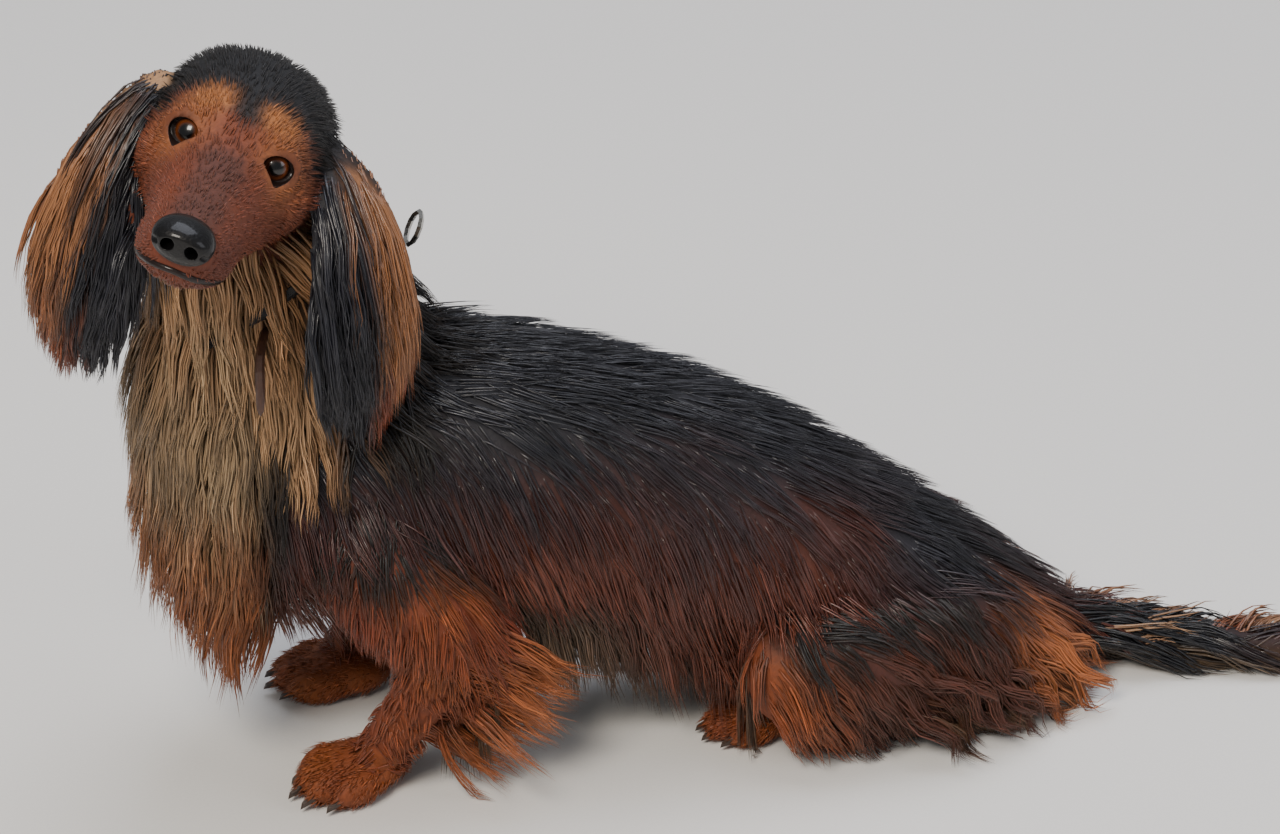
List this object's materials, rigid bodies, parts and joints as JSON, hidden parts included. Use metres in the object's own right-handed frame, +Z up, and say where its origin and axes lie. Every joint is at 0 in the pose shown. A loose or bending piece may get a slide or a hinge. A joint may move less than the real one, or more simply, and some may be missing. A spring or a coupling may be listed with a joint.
{
  "type": "long-haired dachshund, life-size still model",
  "caption": "Life-size long-haired dachshund sitting low with folded hind legs, head turned to its left, ears hanging, tail on the floor.",
  "frame": {"origin": "on the floor, under the middle of the bounding box", "axes": "+X towards the tail and -X towards the forechest, +Z up, -Y towards the dog's left side"},
  "size_m": [0.743, 0.241, 0.3524],
  "materials": {
    "black_coat": "long glossy black hair with a blue sheen",
    "face_coat": "short dense reddish-brown fur, black over the crown",
    "fawn_coat": "long soft beige-grey hair",
    "tan_coat": "rich orange-brown hair",
    "nose_leather": "moist pebbled black nose leather",
    "eye": "wet dark brown eye",
    "claw": "dark horn",
    "collar_leather": "thin rolled brown leather",
    "ring_metal": "polished ring"
  },
  "bodies": {
    "root": {"eye_left": "eye", "eye_right": "eye", "nose": "nose_leather", "head": "face_coat", "ear_left": "black_coat", "ear_right": "black_coat", "collar": "collar_leather", "collar_ring": "ring_metal", "collar_end": "collar_leather", "neck": "fawn_coat", "claw_fore_left_1": "claw", "claw_fore_left_2": "claw", "claw_fore_left_3": "claw", "claw_fore_left_4": "claw", "forepaw_left": "tan_coat", "claw_fore_right_1": "claw", "claw_fore_right_2": "claw", "claw_fore_right_3": "claw", "claw_fore_right_4": "claw", "forepaw_right": "tan_coat", "claw_hind_left_1": "claw", "claw_hind_left_2": "claw", "claw_hind_left_3": "claw", "claw_hind_left_4": "claw", "hindpaw_left": "tan_coat", "claw_hind_right_1": "claw", "claw_hind_right_2": "claw", "claw_hind_right_3": "claw", "claw_hind_right_4": "claw", "hindpaw_right": "tan_coat", "foreleg_left": "tan_coat", "hindleg_left": "tan_coat", "foreleg_right": "tan_coat", "hindleg_right": "tan_coat", "tail": "black_coat", "torso": "black_coat"}
  },
  "joints": []
}
